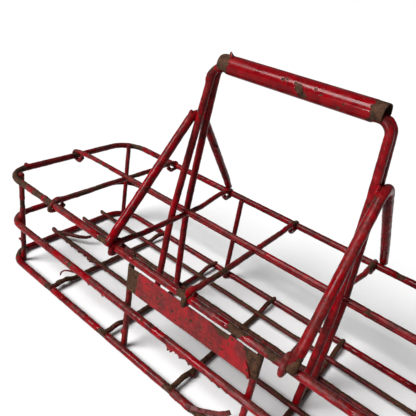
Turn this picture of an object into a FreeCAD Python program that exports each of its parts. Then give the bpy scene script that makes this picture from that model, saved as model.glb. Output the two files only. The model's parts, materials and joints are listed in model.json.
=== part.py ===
import FreeCAD, Part
import math
import os

os.makedirs("parts", exist_ok=True)

# Milk bottle crate of bent steel rod: three rectangular rims, upright posts, an upper and a lower
# grid of wires that make two rows of six bottle cells, and a tall handle of two side-by-side rods.
# Millimetres. X runs along the crate, -Y is the side with the name plate, Z is up.
# The origin is the middle of the base, on the surface that the crate stands on.

# ---- driving dimensions ------------------------------------------------------------------------
PITCH = 95.0                     # from one cross wire to the next: a litre bottle and its play
CELLS = 6                        # cells along the crate, in each of its two rows
ROD_D = 7.3                      # rims and handle rods
BRACE_D = 8.6
POST_D = 6.0                     # upright posts
WIRE_D = 5.6                     # grid wires
WELD = 0.25                      # how far two rods sink into each other where they are welded

LENGTH = 5.92 * PITCH            # rims, centre line to centre line
WIDTH = 2.02 * PITCH
RACK = 0.066 * PITCH             # the crate has racked: how far its back side has gone along -X
CORNER_PULL = 0.035 * PITCH      # the front corners have been knocked in by this much
FRONT_CORNER_R = 0.28 * PITCH    # rim corners, to the rod's centre line
BACK_CORNER_R = 0.33 * PITCH
CORNER_R = [FRONT_CORNER_R, BACK_CORNER_R, BACK_CORNER_R, FRONT_CORNER_R]
MID_RISE = 0.557 * PITCH         # middle rim above bottom rim
RIM_RISE = 1.17 * PITCH          # top rim above bottom rim

CENTRE_Y = 0.03 * PITCH          # the top grid's one long wire
LONG_Y = [-0.615 * PITCH, -0.30 * PITCH, 0.228 * PITCH, 0.575 * PITCH]    # the bottom grid's four
CROSS_SAG = 2.4                  # top cross wires, between the rims, above the rim's centre line
EYE_REACH = 6.5                  # a top wire goes this far back inside, under its rim,
EYE_TAIL = 12.5                  # and then up to here, where it closes an eye against itself
LOWER_SAG = 0.3                  # the same of bottom cross wires
END_WRAP = 32.0                  # degrees that the lower wires' ends bend round their rim

SIDE_POST_X = 0.765 * PITCH
SIDE_POST_BACK_X = 0.76 * PITCH
POST_TURN = 15.0                 # degrees that the front corner posts stand round towards the front

GRIP_RISE = 2.93 * PITCH         # grip axis above bottom rim
GRIP_HALF = 0.807 * PITCH        # half the length of the grip sleeve
GRIP_WIDE = 20.2                 # the sleeve is a flattened tube round both rods
GRIP_HIGH = 16.5
ROD_DROP = 3.2                   # the rods rest on the sleeve's inside, this far below its axis
SLEEVE_WALL = 1.2
NOTCH_LONG = 8.0                 # below each end of the sleeve, where the rods turn down
NOTCH_PLAY = 0.6
HANDLE_LEAN = 0.042 * PITCH      # the grip stands this far to the right of the crate's middle
GRIP_CORNER_X = 0.868 * PITCH    # where a leg's line meets the grip's
SHOULDER_X = 0.927 * PITCH       # legs bend a little here
SHOULDER_RISE = 2.30 * PITCH
WAIST_X = 1.012 * PITCH          # legs where they pass the top grid
LEG_SPREAD = 0.135 * PITCH       # legs from the crate's middle plane, at the top grid
BEND_R = 11.0
SHOULDER_R = 250.0
WAIST_R = 250.0

BRACE_RISE = 2.37 * PITCH        # flat top of each brace above the bottom rim
LEG_AT_BRACE_X = 0.918 * PITCH   # legs at that height
BRACE_FLAT = 0.08 * PITCH        # half the flat top
BRACE_BEND_R = 12.0
BRACE_WRAP = 15.0                # degrees that each brace foot goes round the rim

RIVET_X = 0.09 * PITCH           # from the grip's middle
RIVET_R = 3.0
RIVET_HEAD = 0.8

PLATE_THICK = 0.8
PLATE_LOW = [0.755 * PITCH, 0.785 * PITCH]     # lower edge above the bottom rim, left and right
PLATE_HIGH = [1.045 * PITCH, 1.065 * PITCH]    # and its upper edge

# ---- derived places ----------------------------------------------------------------------------
ROD_R = ROD_D / 2
POST_R = POST_D / 2
WIRE_R = WIRE_D / 2
HALF_L = LENGTH / 2
HALF_W = WIDTH / 2
HOOK_R = ROD_R + WIRE_R - WELD             # a wire's bend round a rim, to the wire's centre line
FOOT_BESIDE = ROD_R + WIRE_R - 2 * WELD    # a handle foot stands in the corner inside a long wire
FOOT_Y = {-1: LONG_Y[1] + FOOT_BESIDE, 1: LONG_Y[2] - FOOT_BESIDE}
BOW_HALF = 2.5 * LEG_SPREAD                # half the part of those wires that the legs push inwards
BOW_R = 60.0
BRACE_OFFSET = ROD_R + BRACE_D / 2 - WELD  # from a rim's or leg's centre line to a brace's
BRACE_TOP_X = LEG_AT_BRACE_X + BRACE_OFFSET
BRACE_ASIDE = WIRE_R + BRACE_D / 2 - WELD  # from a hooked wire to the brace foot beside it

Z_BOTTOM = ROD_R
Z_MID = Z_BOTTOM + MID_RISE
Z_TOP = Z_BOTTOM + RIM_RISE
Z_GRIP = Z_BOTTOM + GRIP_RISE
Z_FOOT = Z_BOTTOM + LOWER_SAG + WIRE_R - WELD      # on top of the bottom cross wires 2 and 4
Z_SHOULDER = Z_BOTTOM + SHOULDER_RISE
Z_BRACE = Z_BOTTOM + BRACE_RISE
POST_Y = HALF_W - ROD_R - POST_R + WELD    # side posts stand inside the rims' long sides
CROSS_X = [(i - CELLS / 2) * PITCH for i in range(1, CELLS)]
LEG_PUSH = PITCH + HOOK_R - WAIST_X        # how far the legs push the top cross wires 2 and 4 inwards
WIRE_BOWS = {2: (LEG_PUSH, (BOW_HALF,)), 4: (-LEG_PUSH, (-BOW_HALF, BOW_HALF))}


def at(x, y, z):
    """A point of the crate, moved as far as the racking has taken it."""
    return FreeCAD.Vector(x - RACK * y / WIDTH, y, z)


# ---- building rods -----------------------------------------------------------------------------
def fillet_path(points, radii):
    """Straight runs through the points, joined by tangent arcs of the given radii."""
    edges = []
    start = points[0]
    for corner, after, radius in zip(points[1:-1], points[2:], radii):
        towards_start = (start - corner).normalize()
        towards_after = (after - corner).normalize()
        half = towards_start.getAngle(towards_after) / 2
        reach = radius / math.tan(half)
        first = corner + towards_start * reach
        last = corner + towards_after * reach
        inward = (towards_start + towards_after).normalize()
        middle = corner + inward * (radius / math.sin(half) - radius)
        if (first - start).Length > 1e-4:
            edges.append(Part.LineSegment(start, first).toShape())
        edges.append(Part.Arc(first, middle, last).toShape())
        start = last
    if (points[-1] - start).Length > 1e-4:
        edges.append(Part.LineSegment(start, points[-1]).toShape())
    return Part.Wire(edges)


def rod(points, radii, diameter):
    """A round rod along a filleted path."""
    path = fillet_path(points, radii)
    ring = Part.Wire([Part.Circle(points[0], points[1] - points[0], diameter / 2).toShape()])
    solid = path.makePipeShell([ring], True, False)
    return Part.makeSolid(solid.Shells[0])


def straight_rod(foot, head, diameter):
    along = head - foot
    return Part.makeCylinder(diameter / 2, along.Length, foot, along)


# ---- the three rims ----------------------------------------------------------------------------
def rim_corners(z):
    """Where the rim's four sides would meet: front right, back right, back left, front left."""
    front = HALF_L - CORNER_PULL
    return [at(front, -HALF_W, z), at(HALF_L, HALF_W, z), at(-HALF_L, HALF_W, z), at(-front, -HALF_W, z)]


def rim(z):
    joint = at(0, -HALF_W, z)
    return rod([joint] + rim_corners(z) + [joint], CORNER_R, ROD_D)


# ---- upright posts -----------------------------------------------------------------------------
def side_post(x, y):
    """A straight post inside the rims, from the foot of the bottom one to the head of the top one."""
    return straight_rod(at(x, y, Z_BOTTOM - ROD_R), at(x, y, Z_TOP + ROD_R), POST_D)


def corner_post(index, turn):
    """A post inside a rim corner, turned by some degrees round the corner from its middle."""
    corners = rim_corners(0)
    corner = corners[index]
    before = (corners[index - 1] - corner).normalize()
    after = (corners[(index + 1) % len(corners)] - corner).normalize()
    inward = (before + after).normalize()
    radius = CORNER_R[index]
    centre = corner + inward * (radius / math.sin(before.getAngle(after) / 2))
    outward = FreeCAD.Rotation(FreeCAD.Vector(0, 0, 1), turn).multVec(inward * -1)
    foot = centre + outward * (radius - ROD_R - POST_R + WELD)
    return straight_rod(foot, foot + FreeCAD.Vector(0, 0, Z_TOP + ROD_R), POST_D)


# ---- grid wires --------------------------------------------------------------------------------
def eyed_end(half_span, lift):
    """A wire's end as (along, up): bent over its rim, under it, and up again inside."""
    r = HOOK_R
    inside = EYE_REACH - half_span
    outside = -half_span - r
    above_tip = r + (lift - r) * (EYE_TAIL - 1.5 * r) / (3.5 * r)
    tip = (EYE_TAIL - half_span, above_tip - WIRE_D + WELD)
    points = [tip, (inside, -r), (outside, -r), (outside, r), (1.5 * r - half_span, r), (5 * r - half_span, lift)]
    return points, [0.8 * r, r, r, 2 * r, 2 * r]


def bent_end(half_span, lift):
    """A wire's end as (along, up): bent down a little over the outside of its rim."""
    wrap = math.radians(END_WRAP)
    r = HOOK_R
    tip = (-half_span - r * math.sin(wrap), r * math.cos(wrap))
    corner = (-half_span - r * math.tan(wrap / 2), r)
    return [tip, corner, (1.5 * r - half_span, r), (5 * r - half_span, lift)], [r, 2 * r, 2 * r]


def spanning_wire(end, place, bends=()):
    """A wire with the same shape at both ends and bends between; place turns (along, up) into a point."""
    points, radii = end
    between = [(along, points[-1][1]) for along in bends]
    whole = points + between + [(-along, up) for along, up in reversed(points)]
    radii = radii + [BOW_R] * len(between) + radii[::-1]
    return rod([place(along, up) for along, up in whole], radii, WIRE_D)


def top_cross_wire(x, bow, bends):
    """A wire from rim to rim; from its first bend to its last it has gone along X by bow."""
    start = bends[0] if len(bends) > 1 else -WIDTH

    def place(y, up):
        aside = bow if start <= y <= BOW_HALF else 0
        return at(x + aside, y, Z_TOP + up)

    return spanning_wire(eyed_end(HALF_W, CROSS_SAG), place, bends)


def top_centre_wire():
    lift = CROSS_SAG + WIRE_D - WELD
    return spanning_wire(eyed_end(HALF_L, lift), lambda x, up: at(x, CENTRE_Y, Z_TOP + up))


def bottom_cross_wire(x):
    return spanning_wire(bent_end(HALF_W, LOWER_SAG), lambda y, up: at(x, y, Z_BOTTOM + up))


def bottom_long_wire(y):
    lift = LOWER_SAG + WIRE_D - WELD
    return spanning_wire(bent_end(HALF_L, lift), lambda x, up: at(x, y, Z_BOTTOM + up))


# ---- handle ------------------------------------------------------------------------------------
def leg(side_x, side_y):
    """The points of one handle leg, from its foot on the lower grid to the grip's corner."""
    taper = side_y * (ROD_R + 0.3 * (LEG_SPREAD - ROD_R))
    return [
        at(side_x * PITCH, FOOT_Y[side_y], Z_FOOT),
        at(side_x * WAIST_X, side_y * LEG_SPREAD, Z_TOP),
        at(side_x * SHOULDER_X + 0.8 * HANDLE_LEAN, taper, Z_SHOULDER),
        at(side_x * GRIP_CORNER_X + HANDLE_LEAN, side_y * (ROD_R - WELD / 2), Z_GRIP - ROD_DROP),
    ]


def handle_rod(side_y):
    """One of the two handle rods: up from the lower grid, along the grip and down again."""
    points = leg(-1, side_y) + leg(1, side_y)[::-1]
    radii = [WAIST_R, SHOULDER_R, BEND_R]
    return rod(points, radii + radii[::-1], ROD_D)


def brace_half(side_x, side_y):
    """The points of half a brace, from its tip round the top rim to its flat top."""
    r = BRACE_OFFSET
    beside = PITCH - LEG_PUSH if (side_x, side_y) == (-1, -1) else PITCH
    top = at(side_x * BRACE_TOP_X + 0.8 * HANDLE_LEAN, side_y * BRACE_FLAT, Z_BRACE)
    slope = math.atan2(Z_BRACE - Z_TOP, BRACE_FLAT - HALF_W)
    touch = slope - math.pi / 2                   # where the leg meets the rim, seen along the rim
    wrap = math.radians(BRACE_WRAP)
    reach = r / math.cos(wrap / 2)

    def round_rim(distance, angle):
        y = HALF_W + distance * math.cos(angle)
        return at(side_x * (beside + BRACE_ASIDE), side_y * y, Z_TOP + distance * math.sin(angle))

    return [round_rim(r, touch - wrap), round_rim(reach, touch - wrap / 2), top]


def brace(side_x):
    """A rod across the outer faces of both handle rods, its two feet bent round the top rim."""
    points = brace_half(side_x, -1) + brace_half(side_x, 1)[::-1]
    return rod(points, [BRACE_OFFSET, BRACE_BEND_R, BRACE_BEND_R, BRACE_OFFSET], BRACE_D)


def flattened_disc(wide, high, x):
    """A face across the two handle rods: two half circles joined by flats."""
    r = high / 2
    flat = (wide - high) / 2
    low_front = FreeCAD.Vector(x, -flat, Z_GRIP - r)
    low_back = FreeCAD.Vector(x, flat, Z_GRIP - r)
    high_back = FreeCAD.Vector(x, flat, Z_GRIP + r)
    high_front = FreeCAD.Vector(x, -flat, Z_GRIP + r)
    edges = [
        Part.LineSegment(low_front, low_back).toShape(),
        Part.Arc(low_back, FreeCAD.Vector(x, flat + r, Z_GRIP), high_back).toShape(),
        Part.LineSegment(high_back, high_front).toShape(),
        Part.Arc(high_front, FreeCAD.Vector(x, -flat - r, Z_GRIP), low_front).toShape(),
    ]
    return Part.Face(Part.Wire(edges))


def grip_sleeve():
    """A rolled tube over both handle rods, notched below at each end where the rods turn down."""
    left = HANDLE_LEAN - GRIP_HALF
    along = FreeCAD.Vector(2 * GRIP_HALF, 0, 0)
    outer = flattened_disc(GRIP_WIDE, GRIP_HIGH, left).extrude(along)
    inner = flattened_disc(GRIP_WIDE - 2 * SLEEVE_WALL, GRIP_HIGH - 2 * SLEEVE_WALL, left).extrude(along)
    sleeve = outer.cut(inner)
    width = 2 * ROD_D + NOTCH_PLAY
    for x in (left, left + 2 * GRIP_HALF - NOTCH_LONG):
        corner = FreeCAD.Vector(x, -width / 2, Z_GRIP - GRIP_HIGH)
        sleeve = sleeve.cut(Part.makeBox(NOTCH_LONG, width, GRIP_HIGH, corner))
    return sleeve.Solids[0]


def grip_rivet():
    """A low round head on the sleeve's front with a short pin that goes through the sleeve."""
    forwards = FreeCAD.Vector(0, -1, 0)
    face = FreeCAD.Vector(HANDLE_LEAN + RIVET_X, -GRIP_WIDE / 2 + WELD, Z_GRIP)
    head = Part.makeCylinder(RIVET_R, RIVET_HEAD, face, forwards)
    pin = Part.makeCylinder(RIVET_R / 2, SLEEVE_WALL, face + FreeCAD.Vector(0, SLEEVE_WALL, 0), forwards)
    return head.fuse(pin).Solids[0]


# ---- name plate --------------------------------------------------------------------------------
def rolled_strip(r):
    """The plate's cross section, at one of its two faces: round a post, straight, round the other."""
    left = at(-SIDE_POST_X, -POST_Y, 0)
    right = at(SIDE_POST_X, -POST_Y, 0)
    ahead = FreeCAD.Vector(0, -r, 0)
    aside = FreeCAD.Vector(r, 0, 0)
    edges = [
        Part.Arc(left - ahead, left - aside, left + ahead).toShape(),
        Part.LineSegment(left + ahead, right + ahead).toShape(),
        Part.Arc(right + ahead, right + aside, right - ahead).toShape(),
    ]
    return edges


def name_plate():
    """A blank thin sheet in front of two side posts, its ends rolled round them."""
    outer = rolled_strip(POST_R + PLATE_THICK - WELD)
    inner = rolled_strip(POST_R - WELD)
    ends = [
        Part.LineSegment(outer[i].Vertexes[j].Point, inner[i].Vertexes[j].Point).toShape()
        for i, j in ((0, 0), (-1, -1))
    ]
    section = Part.Face(Part.Wire(Part.sortEdges(outer + inner + ends)[0]))
    sheet = section.extrude(FreeCAD.Vector(0, 0, Z_TOP))
    low_left, low_right = PLATE_LOW
    x = SIDE_POST_X + 2 * POST_D
    high_left, high_right = PLATE_HIGH
    outline = [(-x, low_left), (-x, high_left), (x, high_right), (x, low_right)]
    corners = [FreeCAD.Vector(along, -HALF_W, Z_BOTTOM + up) for along, up in outline]
    window = Part.Face(Part.makePolygon(corners + corners[:1])).extrude(FreeCAD.Vector(0, HALF_W, 0))
    return sheet.common(window).Solids[0]


def main():
    nodes = {"top_rim": rim(Z_TOP), "mid_rim": rim(Z_MID), "bottom_rim": rim(Z_BOTTOM)}
    nodes["corner_post_front_right"] = corner_post(0, -POST_TURN)
    nodes["corner_post_back_right"] = corner_post(1, 0)
    nodes["corner_post_back_left"] = corner_post(2, 0)
    nodes["corner_post_front_left"] = corner_post(3, POST_TURN)
    for side_x, end in ((-1, "left"), (1, "right")):
        nodes["side_post_front_" + end] = side_post(side_x * SIDE_POST_X, -POST_Y)
        nodes["side_post_back_" + end] = side_post(side_x * SIDE_POST_BACK_X, POST_Y)
        nodes["brace_" + end] = brace(side_x)
    for i, x in enumerate(CROSS_X, 1):
        nodes["top_cross_wire_%d" % i] = top_cross_wire(x, *WIRE_BOWS.get(i, (0, ())))
        nodes["bottom_cross_wire_%d" % i] = bottom_cross_wire(x)
    nodes["top_centre_wire"] = top_centre_wire()
    for i, y in enumerate(LONG_Y, 1):
        nodes["bottom_long_wire_%d" % i] = bottom_long_wire(y)
    nodes["handle_rod_front"] = handle_rod(-1)
    nodes["handle_rod_back"] = handle_rod(1)
    nodes["grip_sleeve"] = grip_sleeve()
    nodes["grip_rivet"] = grip_rivet()
    nodes["name_plate"] = name_plate()
    for name, shape in nodes.items():
        print(name, shape.ShapeType, shape.isValid(), len(shape.Solids), round(shape.Volume))
        shape.exportStep("parts/%s.step" % name)


main()
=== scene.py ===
# %% [markdown]
# # A milk bottle crate
#
# The crate is bent and welded from round steel rod, then dipped in a thick red coat that has
# chipped, peeled and weathered. The frame loaded below holds the exact model, and each rod gets its
# worn coat here.

# %% Load the exact model
import bpy
import json
import math
import numpy as np
from mathutils import Matrix, Vector, noise


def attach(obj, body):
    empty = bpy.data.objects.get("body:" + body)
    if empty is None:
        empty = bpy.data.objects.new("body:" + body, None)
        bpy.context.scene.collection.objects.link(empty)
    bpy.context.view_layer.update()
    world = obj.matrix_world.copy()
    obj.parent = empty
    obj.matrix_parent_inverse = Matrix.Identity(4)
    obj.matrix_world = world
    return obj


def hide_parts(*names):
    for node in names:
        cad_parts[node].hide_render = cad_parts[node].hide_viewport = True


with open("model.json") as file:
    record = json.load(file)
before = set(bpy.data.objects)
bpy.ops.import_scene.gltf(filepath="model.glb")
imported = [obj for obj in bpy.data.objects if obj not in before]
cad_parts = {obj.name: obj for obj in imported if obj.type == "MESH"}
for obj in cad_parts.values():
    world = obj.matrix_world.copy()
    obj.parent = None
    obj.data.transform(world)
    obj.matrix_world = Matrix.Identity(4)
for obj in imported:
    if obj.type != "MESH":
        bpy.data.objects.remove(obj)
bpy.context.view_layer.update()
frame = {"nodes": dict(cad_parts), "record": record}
nodes = frame["nodes"]
scene = bpy.context.scene
MM = 0.001

# %% [markdown]
# ## Camera
#
# A short lens close to the crate's front right makes the near end large and lets it run out of the
# frame. The camera is held a little turned, so it is placed by its own three directions.

# %% Place the camera
CAMERA_PLACE = (0.17366, -0.33526, 0.35278)
LOOK = (-0.5064, 0.7281, -0.4620)
TO_THE_RIGHT = (0.7592, 0.6305, 0.1614)
LENS = 39.08

look = Vector(LOOK).normalized()
right = Vector(TO_THE_RIGHT)
right = (right - look * right.dot(look)).normalized()
up = right.cross(look)
camera_data = bpy.data.cameras.new("camera")
camera_data.lens = LENS
camera_data.sensor_width = 36
camera_data.clip_start = 0.01
camera = bpy.data.objects.new("camera", camera_data)
scene.collection.objects.link(camera)
camera.matrix_world = Matrix.Translation(CAMERA_PLACE) @ Matrix((right, up, -look)).transposed().to_4x4()
scene.camera = camera
print("camera at", [round(c, 3) for c in camera.location])

# %% [markdown]
# ## Floor and light
#
# A white sheet lies under the crate, in a white room. A wide soft light from above the viewer's left
# makes the soft shadow, and a small one at eye level draws the thin white lines along the rods. One
# wide light alone would leave the rods flat. The plain view transform keeps the reds as deep as painted.

# %% Lay the floor
FLOOR_SIZE = 80
FLOOR_GAP = 0.4 * MM
PAPER_GREY = 0.64

bpy.ops.object.select_all(action="DESELECT")
bpy.ops.mesh.primitive_plane_add(size=FLOOR_SIZE, location=(0, 0, -FLOOR_GAP))
floor = bpy.context.object
floor.name = "floor"

paper = bpy.data.materials.new("white_paper")
paper.use_nodes = True
paper_shader = paper.node_tree.nodes["Principled BSDF"]
paper_shader.inputs["Base Color"].default_value = (PAPER_GREY, PAPER_GREY, PAPER_GREY, 1)
paper_shader.inputs["Roughness"].default_value = 0.9
paper_shader.inputs["Specular IOR Level"].default_value = 0.1
floor.data.materials.append(paper)
print("floor", FLOOR_SIZE, "m wide")

# %% Light the room
WALL = 1.0
WALL_LIGHT = 0.16

scene.view_settings.view_transform = "Standard"
world = bpy.data.worlds.new("white_room")
scene.world = world
world.use_nodes = True
room = world.node_tree.nodes["Background"]
room.inputs["Color"].default_value = (1, 1, 1, 1)
ray = world.node_tree.nodes.new("ShaderNodeLightPath")
ray.label = "the far wall, or its light"
ray.location = (-500, 200)
wall_or_light = world.node_tree.nodes.new("ShaderNodeMapRange")
wall_or_light.label = "white wall, dimmer light"
wall_or_light.location = (-300, 200)
wall_or_light.inputs["To Min"].default_value = WALL_LIGHT
wall_or_light.inputs["To Max"].default_value = WALL
world.node_tree.links.new(ray.outputs["Is Camera Ray"], wall_or_light.inputs["Value"])
world.node_tree.links.new(wall_or_light.outputs["Result"], room.inputs["Strength"])


def sun(name, towards, strength, spread):
    """A distant light that shines towards a direction, and looks as wide as spread, in degrees."""
    data = bpy.data.lights.new(name, "SUN")
    data.energy = strength
    data.angle = math.radians(spread)
    lamp = bpy.data.objects.new(name, data)
    lamp.rotation_mode = "QUATERNION"
    lamp.rotation_quaternion = Vector(towards).to_track_quat("-Z", "Y")
    scene.collection.objects.link(lamp)
    return lamp


key = sun("key_light", towards=(0.30, 0.62, -0.72), strength=6.3, spread=32)
front = sun("front_light", towards=(0.22, 0.96, -0.03), strength=1.8, spread=7)
print("lit by", key.name, front.name, "and", world.name)

# %% [markdown]
# ## The worn coat
#
# Everywhere on the crate the same two things meet: a thick red coat, and brown rusted steel where
# the coat has gone. They could be two materials on chosen faces, but then every chip would have the
# faces' own outline. So one function mixes them for every kind of rod. The attribute "bare" on each
# mesh says where the coat has gone, and fine noise frays its edge and adds small chips.

# %% Make the coat material
BLOOD = (0.155, 0.0005, 0.003)
MAROON = (0.048, 0.001, 0.002)
OLD_RED = (0.092, 0.002, 0.004)
OLD_MAROON = (0.026, 0.001, 0.002)
GRIP_RED = (0.140, 0.0002, 0.0020)
GRIP_SHADE = (0.078, 0.0002, 0.0016)
PLATE_RED = (0.19, 0.004, 0.007)
PLATE_SHADE = (0.085, 0.007, 0.008)
FILM = (0.072, 0.022, 0.019)
FILM_DARK = (0.020, 0.007, 0.005)
RUST = (0.012, 0.006, 0.0035)
RUST_LIGHT = (0.064, 0.027, 0.013)


def worn_coat(name, red, shade, film_amount, film_from, chips, gloss, shine, streak=1):
    """Red coat over rusted steel. The film is the weathered brown, mostly on what faces up."""
    material = bpy.data.materials.new(name)
    material.use_nodes = True
    tree = material.node_tree
    new, link = tree.nodes.new, tree.links.new
    shader = tree.nodes["Principled BSDF"]
    shader.location = (1400, 0)

    place = new("ShaderNodeTexCoord")
    place.label = "place on the crate"
    place.location = (-1500, 0)

    run = new("ShaderNodeMapping")
    run.label = "clouds run down"
    run.location = (-1350, 500)
    run.inputs["Scale"].default_value = (1, 1, streak)
    cloud = new("ShaderNodeTexNoise")
    cloud.label = "cloudy depth of the coat"
    cloud.location = (-1200, 500)
    cloud.inputs["Scale"].default_value = 95
    cloud.inputs["Detail"].default_value = 7
    cloud.inputs["Roughness"].default_value = 0.72
    cloud_ramp = new("ShaderNodeValToRGB")
    cloud_ramp.label = "deep to bright red"
    cloud_ramp.location = (-1000, 500)
    cloud_ramp.color_ramp.elements[0].position = 0.40
    cloud_ramp.color_ramp.elements[0].color = (*shade, 1)
    cloud_ramp.color_ramp.elements[1].position = 0.58
    cloud_ramp.color_ramp.elements[1].color = (*red, 1)
    link(place.outputs["Object"], run.inputs["Vector"])
    link(run.outputs["Vector"], cloud.inputs["Vector"])
    link(cloud.outputs["Fac"], cloud_ramp.inputs["Fac"])

    facing = new("ShaderNodeNewGeometry")
    facing.label = "which way it faces"
    facing.location = (-1500, 250)
    facing_parts = new("ShaderNodeSeparateXYZ")
    facing_parts.label = "up or down"
    facing_parts.location = (-1300, 250)
    weather = new("ShaderNodeTexNoise")
    weather.label = "patches of weathering"
    weather.location = (-1200, 50)
    weather.inputs["Scale"].default_value = 38
    weather.inputs["Detail"].default_value = 6
    weather.inputs["Roughness"].default_value = 0.65
    upward = new("ShaderNodeMapRange")
    upward.label = "only what faces up"
    upward.location = (-1000, 250)
    upward.inputs["From Min"].default_value = film_from
    upward.inputs["From Max"].default_value = 0.95
    patches = new("ShaderNodeMapRange")
    patches.label = "edges of the patches"
    patches.location = (-1000, 50)
    patches.inputs["From Min"].default_value = 0.40
    patches.inputs["From Max"].default_value = 0.60
    film_mask = new("ShaderNodeMath")
    film_mask.operation = "MULTIPLY"
    film_mask.label = "weathered where both"
    film_mask.location = (-800, 200)
    film_share = new("ShaderNodeMath")
    film_share.operation = "MULTIPLY"
    film_share.label = "how weathered"
    film_share.location = (-600, 200)
    film_share.inputs[1].default_value = film_amount
    film_grain = new("ShaderNodeTexNoise")
    film_grain.label = "fine dirt"
    film_grain.location = (-1200, 750)
    film_grain.inputs["Scale"].default_value = 330
    film_grain.inputs["Detail"].default_value = 4
    film_ramp = new("ShaderNodeValToRGB")
    film_ramp.label = "dark dirt to faded red"
    film_ramp.location = (-1000, 750)
    film_ramp.color_ramp.elements[0].position = 0.40
    film_ramp.color_ramp.elements[0].color = (*FILM_DARK, 1)
    film_ramp.color_ramp.elements[1].position = 0.62
    film_ramp.color_ramp.elements[1].color = (*FILM, 1)
    weathered = new("ShaderNodeMix")
    weathered.data_type = "RGBA"
    weathered.label = "brown film over the red"
    weathered.location = (-350, 400)
    link(facing.outputs["Normal"], facing_parts.inputs["Vector"])
    link(facing_parts.outputs["Z"], upward.inputs["Value"])
    link(place.outputs["Object"], weather.inputs["Vector"])
    link(weather.outputs["Fac"], patches.inputs["Value"])
    link(upward.outputs["Result"], film_mask.inputs[0])
    link(patches.outputs["Result"], film_mask.inputs[1])
    link(film_mask.outputs["Value"], film_share.inputs[0])
    link(film_share.outputs["Value"], weathered.inputs["Factor"])
    link(cloud_ramp.outputs["Color"], weathered.inputs["A"])
    link(place.outputs["Object"], film_grain.inputs["Vector"])
    link(film_grain.outputs["Fac"], film_ramp.inputs["Fac"])
    link(film_ramp.outputs["Color"], weathered.inputs["B"])

    bare = new("ShaderNodeAttribute")
    bare.label = "where the coat has gone"
    bare.location = (-1500, -300)
    bare.attribute_name = "bare"
    fray = new("ShaderNodeTexNoise")
    fray.label = "ragged coat edge"
    fray.location = (-1200, -400)
    fray.inputs["Scale"].default_value = 420
    fray.inputs["Detail"].default_value = 4
    frayed = new("ShaderNodeMath")
    frayed.operation = "MULTIPLY_ADD"
    frayed.label = "edge moved by the noise"
    frayed.location = (-1000, -400)
    frayed.inputs[1].default_value = 0.7
    gone = new("ShaderNodeMapRange")
    gone.label = "crisp edge"
    gone.location = (-800, -400)
    gone.inputs["From Min"].default_value = 0.80
    gone.inputs["From Max"].default_value = 0.92
    chip = new("ShaderNodeTexNoise")
    chip.label = "small chips"
    chip.location = (-1200, -650)
    chip.inputs["Scale"].default_value = 170
    chip.inputs["Detail"].default_value = 3
    chip.inputs["Roughness"].default_value = 0.55
    chipped = new("ShaderNodeMapRange")
    chipped.label = "only the deepest of them"
    chipped.location = (-1000, -650)
    chipped.inputs["From Min"].default_value = 0.70 - chips
    chipped.inputs["From Max"].default_value = 0.73 - chips
    steel_mask = new("ShaderNodeMath")
    steel_mask.operation = "MAXIMUM"
    steel_mask.label = "all bare steel"
    steel_mask.location = (-550, -450)
    link(place.outputs["Object"], fray.inputs["Vector"])
    link(place.outputs["Object"], chip.inputs["Vector"])
    link(fray.outputs["Fac"], frayed.inputs[0])
    link(bare.outputs["Fac"], frayed.inputs[2])
    link(frayed.outputs["Value"], gone.inputs["Value"])
    link(chip.outputs["Fac"], chipped.inputs["Value"])
    link(gone.outputs["Result"], steel_mask.inputs[0])
    link(chipped.outputs["Result"], steel_mask.inputs[1])

    grain = new("ShaderNodeTexNoise")
    grain.label = "rust grain"
    grain.location = (-1200, -900)
    grain.inputs["Scale"].default_value = 260
    grain.inputs["Detail"].default_value = 6
    grain.inputs["Roughness"].default_value = 0.7
    rust_ramp = new("ShaderNodeValToRGB")
    rust_ramp.label = "dark to light rust"
    rust_ramp.location = (-1000, -900)
    rust_ramp.color_ramp.elements[0].position = 0.35
    rust_ramp.color_ramp.elements[0].color = (*RUST, 1)
    rust_ramp.color_ramp.elements[1].position = 0.68
    rust_ramp.color_ramp.elements[1].color = (*RUST_LIGHT, 1)
    surface = new("ShaderNodeMix")
    surface.data_type = "RGBA"
    surface.label = "coat or steel"
    surface.location = (0, 200)
    link(place.outputs["Object"], grain.inputs["Vector"])
    link(grain.outputs["Fac"], rust_ramp.inputs["Fac"])
    link(steel_mask.outputs["Value"], surface.inputs["Factor"])
    link(weathered.outputs["Result"], surface.inputs["A"])
    link(rust_ramp.outputs["Color"], surface.inputs["B"])
    link(surface.outputs["Result"], shader.inputs["Base Color"])

    dull = new("ShaderNodeMapRange")
    dull.label = "gloss lost to weather"
    dull.location = (-350, -100)
    dull.inputs["To Min"].default_value = gloss
    dull.inputs["To Max"].default_value = 0.62
    rough = new("ShaderNodeMix")
    rough.label = "dull steel"
    rough.location = (0, -100)
    rough.inputs["B"].default_value = 0.72
    link(film_mask.outputs["Value"], dull.inputs["Value"])
    link(steel_mask.outputs["Value"], rough.inputs["Factor"])
    link(dull.outputs["Result"], rough.inputs["A"])
    link(rough.outputs["Result"], shader.inputs["Roughness"])

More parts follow.
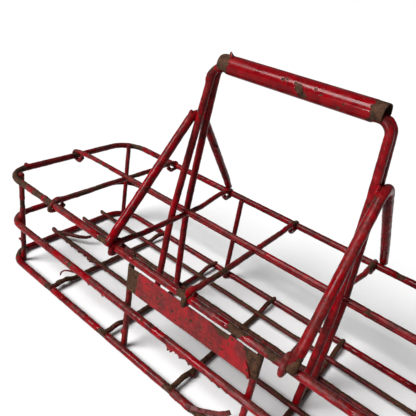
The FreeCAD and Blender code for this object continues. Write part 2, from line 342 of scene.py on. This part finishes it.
    lumps = new("ShaderNodeBump")
    lumps.label = "orange peel of the coat"
    lumps.location = (400, -300)
    lumps.inputs["Strength"].default_value = 0.12
    lumps.inputs["Distance"].default_value = 0.005 * gloss
    pits = new("ShaderNodeBump")
    pits.label = "rust pits"
    pits.location = (700, -300)
    pits.inputs["Distance"].default_value = 0.0012
    step = new("ShaderNodeBump")
    step.label = "edge of the coat"
    step.location = (1000, -300)
    step.invert = True
    step.inputs["Strength"].default_value = 0.6
    step.inputs["Distance"].default_value = 0.0006
    link(chip.outputs["Fac"], lumps.inputs["Height"])
    link(grain.outputs["Fac"], pits.inputs["Height"])
    link(steel_mask.outputs["Value"], pits.inputs["Strength"])
    link(steel_mask.outputs["Value"], step.inputs["Height"])
    link(lumps.outputs["Normal"], pits.inputs["Normal"])
    link(pits.outputs["Normal"], step.inputs["Normal"])
    link(step.outputs["Normal"], shader.inputs["Normal"])
    shader.inputs["Specular IOR Level"].default_value = shine

    groups = {
        "red coat": (run, cloud, cloud_ramp),
        "weathered film": (facing, facing_parts, weather, upward, patches, film_mask, film_share,
                           film_grain, film_ramp, weathered),
        "missing coat": (bare, fray, frayed, gone, chip, chipped, steel_mask),
        "rusted steel": (grain, rust_ramp, surface),
        "gloss": (dull, rough),
        "relief": (lumps, pits, step),
    }
    for title, members in groups.items():
        box = new("NodeFrame")
        box.label = title
        for member in members:
            member.parent = box
    return material


# %% Mix a finish for each kind of piece
finishes = {
    "coated_rim": worn_coat("rim_coat", BLOOD, MAROON, film_amount=0.85, film_from=-0.1, chips=0.04,
                            gloss=0.10, shine=0.10),
    "coated_rod": worn_coat("handle_coat", BLOOD, MAROON, film_amount=0.62, film_from=-0.7, chips=0.045,
                            gloss=0.14, shine=0.07),
    "coated_wire": worn_coat("wire_coat", BLOOD, MAROON, film_amount=0.95, film_from=-0.3, chips=0.06,
                             gloss=0.20, shine=0.10),
    "coated_post": worn_coat("post_coat", BLOOD, MAROON, film_amount=0.7, film_from=-0.9, chips=0.04,
                             gloss=0.16, shine=0.10),
    "rusty_wire": worn_coat("lower_wire_coat", OLD_RED, OLD_MAROON, film_amount=0.9, film_from=-0.5,
                            chips=0.09, gloss=0.32, shine=0.08),
    "grip_coat": worn_coat("grip_coat", GRIP_RED, GRIP_SHADE, film_amount=0, film_from=-0.1, chips=0,
                           gloss=0.09, shine=0.12),
    "plate_coat": worn_coat("plate_coat", PLATE_RED, PLATE_SHADE, film_amount=0.7, film_from=-1.6,
                            chips=0.06, gloss=0.34, shine=0.10, streak=0.4),
    "bare_rivet": worn_coat("rivet_steel", MAROON, MAROON, film_amount=1.0, film_from=-2, chips=0.3,
                            gloss=0.5, shine=0.10),
}
print(len(finishes), "finishes")

# %% [markdown]
# ## An even mesh on every rod
#
# A swept rod's mesh is long thin triangles, which can't take a chip. Subdividing them would only give
# more long thin ones. So each rod is copied, its doubles are merged, and a voxel remesh gives it even
# small faces. The coat can then be pulled, pressed and broken like the real one.

# %% Copy a rod with even faces
ROUNDING = 3
GRIP_ROUNDING = 9


def select_only(piece):
    """Makes one piece the only selected one, and the active one."""
    bpy.ops.object.select_all(action="DESELECT")
    bpy.context.view_layer.objects.active = piece
    piece.select_set(True)


def even_copy(node, size):
    """A copy of an exact part with small even faces, named after it."""
    piece = bpy.data.objects.new(node + "_worn", nodes[node].data.copy())
    scene.collection.objects.link(piece)
    select_only(piece)
    bpy.ops.object.mode_set(mode="EDIT")
    bpy.ops.mesh.select_all(action="SELECT")
    bpy.ops.mesh.remove_doubles(threshold=1e-6)
    bpy.ops.object.mode_set(mode="OBJECT")
    remesh = piece.modifiers.new("even_faces", "REMESH")
    remesh.mode = "VOXEL"
    remesh.voxel_size = size
    remesh.use_smooth_shade = True
    bpy.ops.object.modifier_apply(modifier=remesh.name)
    smooth = piece.modifiers.new("round_again", "SMOOTH")
    smooth.factor = 0.5
    smooth.iterations = GRIP_ROUNDING if node == "grip_sleeve" else ROUNDING
    bpy.ops.object.modifier_apply(modifier=smooth.name)
    return piece


def vertex_places(piece):
    """Where each vertex is, in millimetres."""
    places = np.empty(len(piece.data.vertices) * 3)
    piece.data.vertices.foreach_get("co", places)
    return places.reshape(-1, 3) / MM


def edit_vertices(piece, chosen):
    """Goes into edit mode with only the chosen vertices selected."""
    select_only(piece)
    mesh = piece.data
    mesh.vertices.foreach_set("select", chosen)
    mesh.edges.foreach_set("select", np.zeros(len(mesh.edges), bool))
    mesh.polygons.foreach_set("select", np.zeros(len(mesh.polygons), bool))
    bpy.context.tool_settings.mesh_select_mode = (True, False, False)
    bpy.ops.object.mode_set(mode="EDIT")


slots = {row["node"]: row["material_slot"] for row in frame["record"]["subparts"]}
face_sizes = {"grip_coat": 1.0, "plate_coat": 0.6, "bare_rivet": 0.5, "rusty_wire": 1.0, "coated_wire": 1.0}
ROD_FACE = 1.15
pieces = {node: even_copy(node, face_sizes.get(slot, ROD_FACE) * MM) for node, slot in slots.items()}
print(sum(len(piece.data.polygons) for piece in pieces.values()), "even faces on", len(pieces), "pieces")

# %% [markdown]
# ## Hooks hammered tight
#
# The grid wires were hammered round the rims, and the coat has filled what space was left. Scaling
# the part of a hook that is past the rim's middle towards the rim closes it up the same way. The
# falloff leaves no crease where the pressing stops. The wire ends and post tops then move down on
# their rims, and three rods get the knocks of a working life.

# %% Press the hooks against their rims
RIM_X = 281.2
RIM_Y = 95.95
RIM_Z = 114.8
TIGHT_WIRE = 0.80
TIGHT_BRACE = 0.90
HOOK_REACH = 9

top_wires = [f"top_cross_wire_{i}" for i in range(1, 6)]
bottom_wires = [f"bottom_cross_wire_{i}" for i in range(1, 6)]
side_posts = [f"side_post_{face}_{side}" for face in ("front", "back") for side in ("left", "right")]


def squeeze(node, chosen, value, about):
    """Scales the chosen part of a piece about a place (mm)."""
    edit_vertices(pieces[node], chosen)
    bpy.ops.transform.resize(value=value, center_override=[c * MM for c in about], use_proportional_edit=True,
                             proportional_edit_falloff="SMOOTH", proportional_size=HOOK_REACH * MM)
    bpy.ops.object.mode_set(mode="OBJECT")


for node in top_wires + ["brace_left", "brace_right"]:
    tight = TIGHT_WIRE if node in top_wires else TIGHT_BRACE
    for side in (-1, 1):
        _, y, z = vertex_places(pieces[node]).T
        squeeze(node, (side * y > RIM_Y + 1) & (z < RIM_Z + 12), (1, tight, tight), (0, side * RIM_Y, RIM_Z))
for side in (-1, 1):
    x, _, _ = vertex_places(pieces["top_centre_wire"]).T
    squeeze("top_centre_wire", side * x > RIM_X + 1, (TIGHT_WIRE, 1, TIGHT_WIRE), (side * RIM_X, 0, RIM_Z))
print(2 * len(top_wires) + 6, "hooks pressed tight")

# %% Bed the wire ends and posts on their rims
TOP_END_Y = 84
TOP_END_DROP = 1.9
BOTTOM_END_Y = 90
BOTTOM_END_DROP = 3.4
POST_TOP_Z = 117
POST_TOP_DROP = 3.2


def shift(node, chosen, by, reach, falloff="SMOOTH"):
    """Moves the chosen part of a piece (mm), and takes what is within reach along."""
    edit_vertices(pieces[node], chosen)
    bpy.ops.transform.translate(value=[b * MM for b in by], use_proportional_edit=True,
                                proportional_edit_falloff=falloff, proportional_size=reach * MM)
    bpy.ops.object.mode_set(mode="OBJECT")


for side in (-1, 1):
    for node in top_wires:
        _, y, z = vertex_places(pieces[node]).T
        shift(node, (side * y > TOP_END_Y) & (z > RIM_Z + 1), (0, 0, -TOP_END_DROP), 14)
    for node in bottom_wires:
        _, y, _ = vertex_places(pieces[node]).T
        shift(node, side * y > BOTTOM_END_Y, (0, 0, -BOTTOM_END_DROP), 14)
for node in side_posts:
    _, _, z = vertex_places(pieces[node]).T
    shift(node, z > POST_TOP_Z, (0, 0, -POST_TOP_DROP), 8)
print(len(top_wires + bottom_wires + side_posts), "wires and posts bedded")

# %% Knock some of them aside
knocks = {
    "top_cross_wire_1": {"beyond": -90, "aside": 3.2, "reach": 70},
    "brace_left": {"beyond": -90, "aside": 2.2, "reach": 120},
    "top_cross_wire_2": {"beyond": -94, "aside": -1.2, "reach": 40},
}
for node, knock in knocks.items():
    _, y, _ = vertex_places(pieces[node]).T
    shift(node, y < knock["beyond"], (knock["aside"], 0, 0), knock["reach"])
print(len(knocks), "knocked aside")

# %% [markdown]
# ## Lumps, runs and torn edges
#
# The dipped coat ran down and set in lumps under the rods, and where it has torn it stands out in
# little spikes. Each one is a few vertices pulled out with a falloff: sharp for a spike, smooth for
# a lump.

# %% Pull the coat into lumps and spikes


def pull(node, place, reach, by, falloff):
    """Pulls the coat out where it is nearest to a place, in millimetres."""
    distance = np.linalg.norm(vertex_places(pieces[node]) - np.array(place), axis=1)
    shift(node, distance < distance.min() + 0.5, by, reach, falloff)


pulls = [
    ("mid_rim", (-6, -97, 52), 4.0, (-1.0, -1, -4.4), "SHARP"),
    ("mid_rim", (-2, -98, 53), 3.0, (0, -1.2, -2.6), "SHARP"),
    ("mid_rim", (-120, -98, 53), 4, (0, -0.5, -1.6), "SHARP"),
    ("mid_rim", (-98, -98, 53), 3, (0, -0.5, -2.0), "SHARP"),
    ("bottom_long_wire_2", (-284, -29, 12), 5, (-1.5, 0, 1.8), "SMOOTH"),
    ("bottom_long_wire_3", (-285, 21, 12), 5, (-1.0, 0, 1.4), "SMOOTH"),
    ("bottom_long_wire_4", (-286, 54, 12), 5, (-1.0, 0, 1.4), "SMOOTH"),
    ("bottom_long_wire_2", (-197, -31, 8), 4.5, (-2, -4.2, 0), "SHARP"),
    ("bottom_long_wire_2", (-203, -31, 8), 5, (-1, -2.6, -0.5), "SMOOTH"),
    ("bottom_long_wire_2", (-150, -28.5, 12), 5, (0, -1, 1.2), "SMOOTH"),
    ("bottom_cross_wire_1", (-192, -74, 4), 5, (-3.5, 0, -0.6), "SMOOTH"),
    ("bottom_cross_wire_1", (-192, -84, 4), 5, (-3.0, 0, -0.6), "SMOOTH"),
    ("bottom_cross_wire_1", (-187, -50, 4), 5, (2.5, 0, -0.6), "SHARP"),
    ("bottom_cross_wire_3", (2.5, -66, 4), 4, (2.6, 0, -0.6), "SMOOTH"),
    ("corner_post_front_left", (-261, -90, 30), 2.5, (-3.0, -1.0, 0.5), "SHARP"),
    ("corner_post_front_left", (-261, -90, 62), 4, (-1.5, -1.5, 0), "SMOOTH"),
    ("brace_left", (-95, 41, 187), 3.2, (3.5, 1, 1.0), "SHARP"),
    ("top_rim", (-283, -70, 118), 3, (-1.2, 0, 2.4), "SHARP"),
    ("grip_sleeve", (-62, -3, 290.4), 3.2, (-1.5, 0, 3.6), "SHARP"),
    ("side_post_front_left", (-71, -92, 20), 4, (-1.2, -1.0, 0), "SMOOTH"),
    ("handle_rod_front", (-84, -12, 270), 6, (-1.0, -0.6, 0), "SMOOTH"),
]
for x, out in ((-251, 0.9), (-240, 1.6), (-234, 0.7), (-224, 1.9), (-213, 1.0), (-186, 1.4), (-172, 0.8)):
    pulls.append(("bottom_long_wire_2", (x, -31, 7), 3 + out, (-0.6, -out, -0.4), "SHARP"))
for x, out in ((3, 1.2), (8, 1.9), (12, 1.0), (18, 1.7), (23, 0.9), (44, 1.0), (52, 1.3), (60, 0.9)):
    pulls.append(("mid_rim", (x, -98, 53), 3.2, (0.4, -0.5 * out, -out), "SHARP"))
for x, out in ((7, 0.7), (12, 1.1), (17, 0.6), (23, 1.2), (28, 1.4)):
    pulls.append(("bottom_rim", (x, -98.5, 4), 4.0, (0.5, -out, 0), "SMOOTH"))
for top, bottom, x in zip(top_wires, bottom_wires, (-190, -95, 0, 95, 190)):
    pulls.append((top, (x + 2, -101, 110), 5, (0.8, -0.9, -1.3), "SMOOTH"))
    pulls.append((top, (x - 3, -93, 122), 4, (-0.9, 0, 0.8), "SMOOTH"))
    pulls.append((top, (x - 5, 99, 112), 5, (-1.0, 0.9, -1.3), "SMOOTH"))
    pulls.append((bottom, (x, -98, 6), 5, (0, -0.8, 0.6), "SMOOTH"))
for node, place, reach, by, falloff in pulls:
    pull(node, place, reach, by, falloff)
print(len(pulls), "lumps and spikes")

# %% [markdown]
# ## Where the coat has gone
#
# Wear has its habits: hands and bottles rub the top rims and wires from above, water stands on the
# lower grid, and the coat splits first at hooks and bends. Each kind of rod has its own amounts, some
# places are worn to the steel, and the coat has torn off the ends of the grip and the plate along
# a line. The result is the attribute "bare", which the material reads, and a vertex group that lets
# the bare steel be pressed in by the thickness of the coat.

# %% Mark the bare steel
BARE_FROM = 0.42
BARE_FULL = 0.58
GROUP_LEVELS = 8


def cloudy(places, scale, seed):
    """Noise from -1 to 1 at each place."""
    offset = Vector((seed * 7.31, seed * 3.17, seed * 1.93))
    return np.array([noise.noise(Vector(place) * scale + offset) for place in places])


def mark_bare(piece, everywhere, above, spots, tears, seed):
    """Writes the attribute "bare", from 0 for coat to 1 for steel, and a vertex group of it.

    A spot is a place and a size. A tear is a place, the way across it, and how ragged it is (mm).
    """
    mesh = piece.data
    places = vertex_places(piece)
    normals = np.empty(len(places) * 3)
    mesh.vertices.foreach_get("normal", normals)
    upward = np.clip(normals.reshape(-1, 3)[:, 2], 0, 1)
    value = everywhere + above * upward**1.5
    ragged_edge = cloudy(places, 0.35, seed + 4)
    value += 0.42 * cloudy(places, 0.045, seed) + 0.25 * cloudy(places, 0.16, seed + 1)
    for x, y, z, reach in spots:
        distance = np.linalg.norm(places - np.array((x, y, z)), axis=1) / reach
        distance += 0.35 * ragged_edge
        value = np.where(distance < 1.1, np.maximum(value, 0.5 + 1.2 * (1 - distance)), value)
    for place, across, ragged in tears:
        past = (places - np.array(place)) @ np.array(across)
        past += ragged * cloudy(places, 0.22, seed + 2) + 0.5 * ragged * cloudy(places, 0.6, seed + 3)
        value = np.where(past > 0, np.maximum(value, 0.5 + past), value)
    bare = np.clip((value - BARE_FROM) / (BARE_FULL - BARE_FROM), 0, 1)
    layer = mesh.attributes.new("bare", "FLOAT", "POINT")
    layer.data.foreach_set("value", bare.astype(np.float32))
    group = piece.vertex_groups.new(name="bare")
    for level in range(1, GROUP_LEVELS + 1):
        members = np.nonzero(np.round(bare * GROUP_LEVELS) == level)[0]
        group.add(members.tolist(), level / GROUP_LEVELS, "REPLACE")
    return bare.mean()


# %% List where each piece is worn
spots = {
    "top_rim": [(-261, -93, 114, 12), (-247, -98, 113, 8), (-236, -99, 113, 7), (-272, -84, 113, 11),
                (-210, -98, 116, 8), (-190, -95, 117, 8), (-98, -97, 117, 10), (0, -94, 117, 8),
                (53, -99, 117, 7.0), (61, -94, 118, 4), (72, -93, 118, 3.5), (82, -93, 118, 4.5),
                (88, -95, 117, 6), (-281, 3, 116, 8), (-262, 90, 118, 10), (120, 95, 118, 5),
                (34, -93, 118, 3), (20, -93, 118, 4), (-40, -93, 118, 4), (-60, -93, 118, 5)],
    "mid_rim": [(-281, -70, 55, 8), (-152, -98, 59, 3), (-6, -97, 52, 2.2), (13, -97, 53.5, 2.5),
                (45, -98, 53.5, 2.2), (53, -98, 53.5, 2.6), (61, -98, 53.5, 2.2), (-280, 30, 60, 9)],
    "bottom_rim": [(-190, -98, 4, 6), (-95, -98, 4, 6), (0, -98, 4, 5), (95, -98, 4, 7), (34, -99, 4, 7),
                   (45, -99, 4, 9), (57, -99, 4, 9), (68, -99, 4, 7), (-281, 20, 3, 8), (-281, -50, 3, 8),
                   (-268, -90, 4, 9)],
    "top_centre_wire": [(-232, 3, 119, 6), (-221, 3, 119, 6), (-150, 3, 119, 4), (-281, 3, 116, 5),
                        (120, 3, 119, 6), (-60, 3, 119, 4)],
    "top_cross_wire_1": [(-188, -103, 114, 8), (-188, -60, 119, 9), (-190, -38, 119, 8), (-190, 20, 119, 6)],
    "top_cross_wire_2": [(-96, -102, 111, 8), (-96, 98, 114, 6)],
    "top_cross_wire_3": [(0, -102, 113, 7), (0, -58, 119, 6), (0, -46, 119, 6), (0, 90, 119, 7)],
    "top_cross_wire_4": [(97, 97, 116, 7), (95, 80, 118, 8)],
    "side_post_front_left": [(-70, -92, 108, 9), (-70, -92, 95, 9), (-70, -92, 82, 8)],
    "side_post_front_right": [(75, -92, 104, 5)],
    "corner_post_front_left": [(-260, -88, 80, 6), (-260, -88, 20, 5), (-260, -88, 50, 4)],
    "brace_left": [(-98, -103, 116, 8), (-98, 100, 114, 6), (-98, 8, 229, 3)],
    "brace_right": [(106, -101, 118, 7), (108, -96, 125, 5), (98, 99, 114, 7), (103, 33, 188, 1.8)],
    "handle_rod_front": [(-83, -6, 279, 7), (-87, -6, 273, 6), (99, -12, 205, 1.4), (99, -12, 170, 1.3),
                         (100, -12, 250, 1.2)],
    "handle_rod_back": [(-82, 6, 280, 7)],
    "grip_sleeve": [(11, -9, 283, 3.4), (15, -9.5, 279, 3.2), (-4.6, -9, 286, 1.3), (-1, -9, 287, 1.1),
                    (25, -9, 286, 1.2), (31, -9, 283, 1.1), (51, -9, 281, 1.2), (7, -9, 286, 1.3)],
    "name_plate": [(38, -93, 103, 4.6), (44, -93, 103, 4.2), (-31, -93, 90, 1.2), (-12, -93, 88, 1.5),
                   (-8, -93, 93, 1.1), (-3, -93, 86, 1.4), (4, -93, 90, 1.1), (-7, -93, 81, 1.2),
                   (20, -93, 92, 1.1)],
}
tears = {
    "grip_sleeve": [((-59.5, 0, 282), (-1, 0, 0), 2.6), ((69.5, 0, 282), (1, 0, 0), 2.6)],
    "name_plate": [((-57.5, 0, 90), (-0.99, 0, 0.12), 0.9), ((67.8, 0, 92), (0.88, 0, 0.48), 1.8)],
}
amounts = {
    "coated_rim": (0.02, 0.20),
    "coated_rod": (-0.10, 0.05),
    "coated_wire": (0.08, 0.16),
    "coated_post": (-0.02, 0.0),
    "rusty_wire": (0.25, 0.45),
    "grip_coat": (-0.6, 0.0),
    "plate_coat": (-0.3, 0.0),
    "bare_rivet": (0.6, 0.3),
}
worn = {}
for number, (node, slot) in enumerate(slots.items()):
    everywhere, above = amounts[slot]
    worn[node] = mark_bare(pieces[node], everywhere, above, spots.get(node, []), tears.get(node, []), number)
print("bare share", {node: round(float(share), 2) for node, share in worn.items()})

# %% Press the bare steel in
COAT = {"depth": 0.35, "wave": 0.65, "swell": 0.15}
GRIP_COAT = {"depth": 0.18, "wave": 0.06, "swell": 0.05}
PLATE_COAT = {"depth": 0.25, "wave": 0.2, "swell": 0.05}
HANDLE_COAT = {"depth": 0.35, "wave": 0.6, "swell": 0.15}
ripple = bpy.data.textures.new("coat_ripple", "CLOUDS")
ripple.noise_scale = 6 * MM
ripple.noise_depth = 3


def press_in(piece, depth, wave, swell):
    """Makes the coat uneven by a wave and thicker by a swell, and lowers bare steel by its depth (mm)."""
    select_only(piece)
    uneven = piece.modifiers.new("uneven_coat", "DISPLACE")
    uneven.texture = ripple
    uneven.texture_coords = "LOCAL"
    uneven.strength = wave * MM
    uneven.mid_level = 0.5 - swell / wave
    bpy.ops.object.modifier_apply(modifier=uneven.name)
    chipped = piece.modifiers.new("missing_coat", "DISPLACE")
    chipped.vertex_group = "bare"
    chipped.strength = -depth * MM
    chipped.mid_level = 0
    bpy.ops.object.modifier_apply(modifier=chipped.name)


def finish_piece(piece, slot, *replaced):
    """Gives a finished piece its finish and its place in the model."""
    piece.data.materials.clear()
    piece.data.materials.append(finishes[slot])
    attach(piece, "root")
    if replaced:
        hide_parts(*replaced)


thickness = {"grip_coat": GRIP_COAT, "plate_coat": PLATE_COAT, "coated_rod": HANDLE_COAT}
for node, slot in slots.items():
    press_in(pieces[node], **thickness.get(slot, COAT))
    finish_piece(pieces[node], slot, node)
print("pressed in and finished")

# %% [markdown]
# ## Peeled strips and a loose wire
#
# The coat peels in strips that curl away from the rod, and one old wire end has been bent loose. They
# could follow a curve, but the real ones change their width as they turn. A strip starts as one edge
# of a small plane. Each extrusion adds a length, turns it and narrows it, so the curl comes from the
# turns. A solidify gives it the coat's thickness, and a remesh rounds its edges. The wire is a small
# disc extruded along its bends in the same way.

# %% Peel strips of coat
STRIP_FACE = 0.28


def along(places):
    """The direction at each of a row of places, as a mean of the two sides."""
    steps = [(Vector(b) - Vector(a)).normalized() for a, b in zip(places, places[1:])]
    return [steps[0]] + [(a + b).normalized() for a, b in zip(steps, steps[1:])] + [steps[-1]]


def extrude_along(piece, extrude, places, widths):
    """Extrudes what is selected through places (mm), turned into each bend and scaled to each width."""
    ways = along(places)
    for i in range(1, len(places)):
        here = Vector(places[i]) * MM
        extrude(TRANSFORM_OT_translate={"value": here - Vector(places[i - 1]) * MM})
        axis = ways[i - 1].cross(ways[i])
        if axis.length > 1e-4:
            bpy.ops.transform.rotate(value=-ways[i - 1].angle(ways[i]), orient_axis="Z",
                                     orient_matrix=axis.to_track_quat("Z", "Y").to_matrix(),
                                     orient_type="GLOBAL", orient_matrix_type="GLOBAL", center_override=here)
        bpy.ops.transform.resize(value=(widths[i] / widths[i - 1],) * 3, center_override=here)


def strip(name, places, face, widths, thick, slot):
    """A strip of peeled coat through places (mm), its flat side turned to face at the start."""
    bpy.ops.object.select_all(action="DESELECT")
    bpy.ops.mesh.primitive_plane_add(size=1)
    piece = bpy.context.object
    piece.name = name
    bpy.ops.object.mode_set(mode="EDIT")
    bpy.ops.transform.translate(value=(0, -0.5, 0))
    bpy.ops.transform.resize(value=(widths[0] * MM, 0.6 * MM, 1), center_override=(0, 0, 0))
    bpy.ops.object.mode_set(mode="OBJECT")
    leading = np.array([vertex.co.y > -0.3 * MM for vertex in piece.data.vertices])
    forward = along(places)[0]
    across = forward.cross(Vector(face)).normalized()
    turn = Matrix((across, forward, across.cross(forward))).transposed().to_4x4()
    piece.matrix_world = Matrix.Translation(Vector(places[0]) * MM) @ turn
    bpy.ops.object.transform_apply(location=True, rotation=True, scale=True)
    edit_vertices(piece, leading)
    extrude_along(piece, bpy.ops.mesh.extrude_edges_move, places, widths)
    bpy.ops.object.mode_set(mode="OBJECT")
    solid = piece.modifiers.new("coat_thickness", "SOLIDIFY")
    solid.thickness = thick * MM
    solid.offset = 0
    bpy.ops.object.modifier_apply(modifier=solid.name)
    return round_off(piece, STRIP_FACE, slot)


def round_off(piece, size, slot):
    """Gives a strip or wire even faces, rounded edges, a little unevenness and its finish."""
    select_only(piece)
    remesh = piece.modifiers.new("even_faces", "REMESH")
    remesh.mode = "VOXEL"
    remesh.voxel_size = size * MM
    remesh.use_smooth_shade = True
    bpy.ops.object.modifier_apply(modifier=remesh.name)
    smooth = piece.modifiers.new("round_edges", "SMOOTH")
    smooth.factor = 0.5
    smooth.iterations = 2
    bpy.ops.object.modifier_apply(modifier=smooth.name)
    mark_bare(piece, everywhere=0.12, above=0.1, spots=[], tears=[], seed=70)
    press_in(piece, depth=0.05, wave=0.5, swell=0.05)
    finish_piece(piece, slot)
    return piece


strips = [
    strip("peeled_strip_bottom", [(24, -99, 6), (30, -98.5, 7.5), (36, -97, 9), (42, -94.5, 10),
                                  (48, -91.5, 11), (54, -88.5, 12.5), (59, -86, 15.5), (62, -84.5, 19)],
          face=(0, -0.6, 0.8), widths=[4.5, 4.4, 4.2, 4.2, 4.4, 4.6, 4.8, 4.2], thick=0.9, slot="rusty_wire"),
    strip("peeled_curl_mid", [(-140, -96, 55), (-146, -98, 53), (-152, -99, 51.5), (-158, -99.5, 48.5),
                              (-163, -99.5, 44), (-166, -99, 39.5), (-167, -98.5, 36.5)],
          face=(0, -0.4, 0.9), widths=[1.9, 1.9, 1.8, 1.7, 1.6, 1.4, 1.0], thick=1.3, slot="rusty_wire"),
    strip("torn_flap_plate", [(66.5, -93.6, 91), (68.5, -94.2, 88), (70.5, -95, 85), (72, -95, 81.5),
                              (73.5, -94, 78)],
          face=(0, -1, 0), widths=[1.2, 3.0, 3.4, 3.2, 2.0], thick=0.7, slot="plate_coat"),
    strip("torn_flap_grip", [(-60, -6, 290), (-61.5, -5, 292), (-62, -4, 294)],
          face=(0, -1, 0.3), widths=[2.4, 1.5, 0.8], thick=0.7, slot="grip_coat"),
]
print([(piece.name, len(piece.data.polygons)) for piece in strips])

# %% Bend the loose wire end
WIRE_SIDES = 12
WIRE_FACE = 0.4


def bent_wire(name, places, radii, slot):
    """A thin wire through places (mm), extruded from a disc and turned at each of them."""
    bpy.ops.object.select_all(action="DESELECT")
    bpy.ops.mesh.primitive_circle_add(vertices=WIRE_SIDES, radius=radii[0] * MM, fill_type="NGON")
    piece = bpy.context.object
    piece.name = name
    turn = along(places)[0].to_track_quat("Z", "Y").to_matrix().to_4x4()
    piece.matrix_world = Matrix.Translation(Vector(places[0]) * MM) @ turn
    bpy.ops.object.transform_apply(location=True, rotation=True, scale=True)
    edit_vertices(piece, np.ones(len(piece.data.vertices), bool))
    extrude_along(piece, bpy.ops.mesh.extrude_region_move, places, radii)
    bpy.ops.mesh.select_all(action="SELECT")
    bpy.ops.mesh.normals_make_consistent(inside=False)
    bpy.ops.object.mode_set(mode="OBJECT")
    return round_off(piece, WIRE_FACE, slot)


stub = bent_wire("loose_wire_end", [(-276, -26.5, 9), (-267, -21.5, 10), (-257.6, -17.5, 10.5),
                                    (-248, -12.5, 11), (-242.6, -7, 11), (-239.5, -2.5, 12), (-238, 0.5, 14.5)],
                 radii=[2.8, 2.7, 2.5, 2.4, 2.2, 2.0, 1.6], slot="rusty_wire")
print(stub.name, len(stub.data.polygons))

# %% [markdown]
# ## Weld beads
#
# Where a brace meets a leg, and where a post meets a rim, the welder left a bead, and the coat made
# it rounder still. A bead is a ball of fine faces, stretched along the joint and pushed about by the
# same ripple as the coat.

# %% Lay the weld beads
POST_BEADS_Z = {"bottom": 3.6, "mid": 56.5, "top": 113.5}
CORNER_BEADS_Z = {"bottom": 3.6, "mid": 56.5, "top": 114}
BRACE_BEAD = (3.0, 3.0, 8)
POST_BEAD = (3.9, 2.2, 2.6)
CORNER_BEAD = (3.6, 3.6, 2.4)
LEGS_X = {"left": -93, "right": 94}
POSTS_X = {"left": -70, "right": 75.6}


def bead(name, place, size, slot, seed, lean=0):
    """A weld bead at a place, of a size in three directions (mm), leaning back by an angle."""
    bpy.ops.object.select_all(action="DESELECT")
    bpy.ops.mesh.primitive_ico_sphere_add(subdivisions=4, radius=MM)
    piece = bpy.context.object
    piece.name = name
    bpy.ops.object.mode_set(mode="EDIT")
    bpy.ops.mesh.select_all(action="SELECT")
    bpy.ops.transform.resize(value=size, center_override=(0, 0, 0))
    bpy.ops.transform.rotate(value=math.radians(lean), orient_axis="X", center_override=(0, 0, 0))
    bpy.ops.transform.translate(value=[p * MM for p in place])
    bpy.ops.object.mode_set(mode="OBJECT")
    bpy.ops.object.shade_smooth()
    mark_bare(piece, everywhere=0.1, above=0.2, spots=[], tears=[], seed=seed)
    press_in(piece, depth=0.2, wave=0.7, swell=0.1)
    finish_piece(piece, slot)
    return piece


beads = []
for side, x in LEGS_X.items():
    for end, y in (("front", -8), ("back", 8)):
        z = 219 if (side, end) == ("right", "back") else 226
        beads.append(bead(f"brace_bead_{side}_{end}", (x, y, z), BRACE_BEAD, "coated_rod", len(beads),
                          lean=4 if y > 0 else -4))
for side, x in POSTS_X.items():
    for rim, z in POST_BEADS_Z.items():
        beads.append(bead(f"post_bead_{side}_{rim}", (x, -92.6, z), POST_BEAD, "coated_rim", len(beads)))
for rim, z in CORNER_BEADS_Z.items():
    beads.append(bead(f"corner_bead_{rim}", (-262, -90, z), CORNER_BEAD, "coated_rim", len(beads)))
print(len(beads), "weld beads")

# %% [markdown]
# ## Finish
#
# A coat should add next to nothing to the size of the exact model. The scene is brought up to date.

# %% Bring the scene up to date
bpy.context.view_layer.update()
